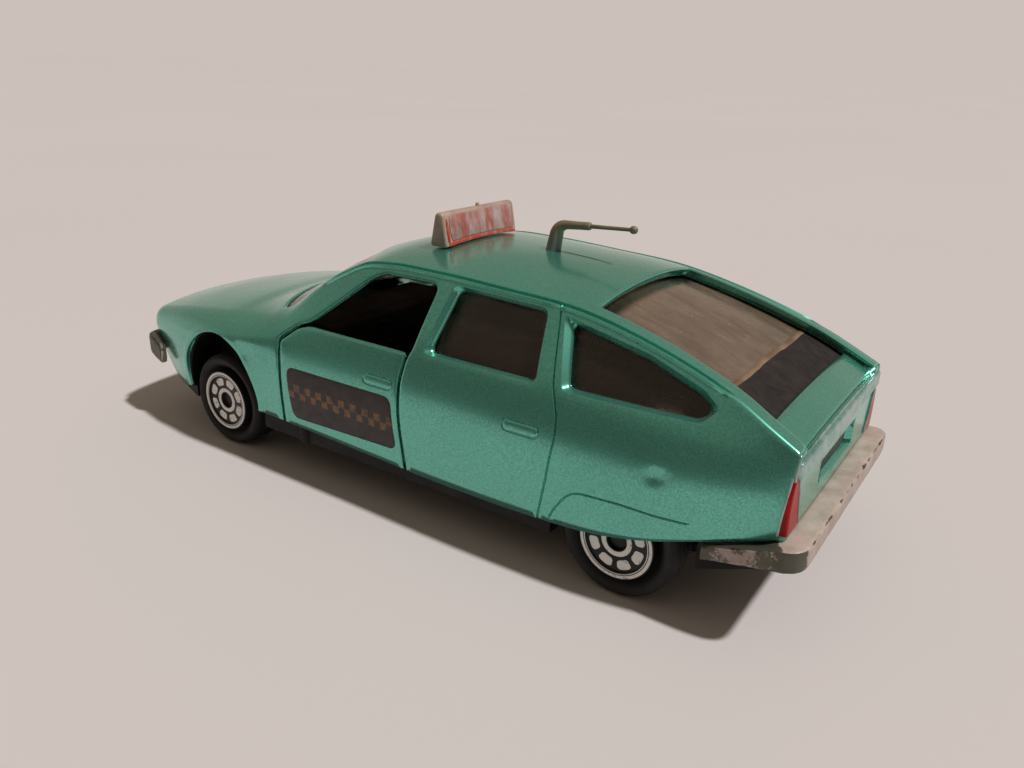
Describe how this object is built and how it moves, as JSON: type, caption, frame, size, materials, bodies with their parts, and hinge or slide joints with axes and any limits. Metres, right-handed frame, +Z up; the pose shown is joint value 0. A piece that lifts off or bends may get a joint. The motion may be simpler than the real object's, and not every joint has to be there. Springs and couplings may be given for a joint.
{
  "type": "die-cast toy car",
  "caption": "Die-cast toy saloon in taxi trim: long sloping tail, front doors that open, wheels that roll on steel axles, clear window moulding, roof sign and roof aerial.",
  "frame": {"origin": "on the ground under the middle of the car's length and width", "axes": "+X to the nose, +Y to the car's left side, +Z up"},
  "size_m": [0.108, 0.041, 0.0378],
  "materials": {
    "paint": "metallic enamel over cast zinc alloy, gloss, with small chips",
    "black_plastic": "satin black",
    "cabin_plastic": "matt dark brown",
    "clear_plastic": "clear moulding, scuffed",
    "lens_plastic": "gloss",
    "red_plastic": "gloss",
    "worn_plating": "cream plastic with remains of bright plating",
    "cream_plastic": "satin cream",
    "beige_plastic": "satin beige grey",
    "rubber": "matt dark grey",
    "steel": "bright"
  },
  "bodies": {
    "body": {"body_shell": "paint", "left_hinge_pin": "steel", "right_hinge_pin": "steel", "base_plate": "black_plastic", "front_rivet": "steel", "rear_rivet": "steel", "window_glazing": "clear_plastic", "interior_tub": "cabin_plastic", "steering_wheel": "cabin_plastic", "front_bumper": "worn_plating", "rear_bumper": "worn_plating", "left_headlamp": "lens_plastic", "right_headlamp": "lens_plastic", "front_grille": "black_plastic", "left_tail_lamp": "red_plastic", "right_tail_lamp": "red_plastic", "roof_sign": "cream_plastic", "roof_aerial": "beige_plastic"},
    "left_door": {"left_front_door": "paint"},
    "right_door": {"right_front_door": "paint"},
    "front_wheelset": {"front_axle": "steel", "left_front_hub": "black_plastic", "right_front_hub": "black_plastic", "left_front_tyre": "rubber", "right_front_tyre": "rubber"},
    "rear_wheelset": {"rear_axle": "steel", "left_rear_hub": "black_plastic", "right_rear_hub": "black_plastic", "left_rear_tyre": "rubber", "right_rear_tyre": "rubber"}
  },
  "joints": [
    {"name": "left_door_hinge", "type": "hinge", "parent": "body", "child": "left_door", "pos_m": [0.01513, 0.0182, 0.012], "axis": [0, 0, -1], "range_deg": [0, 65]},
    {"name": "right_door_hinge", "type": "hinge", "parent": "body", "child": "right_door", "pos_m": [0.01513, -0.0182, 0.012], "axis": [0, 0, 1], "range_deg": [0, 65]},
    {"name": "front_wheels_roll", "type": "hinge", "parent": "body", "child": "front_wheelset", "pos_m": [0.032, 0, 0.007], "axis": [0, 1, 0], "continuous": true},
    {"name": "rear_wheels_roll", "type": "hinge", "parent": "body", "child": "rear_wheelset", "pos_m": [-0.0342, 0, 0.007], "axis": [0, 1, 0], "continuous": true}
  ]
}
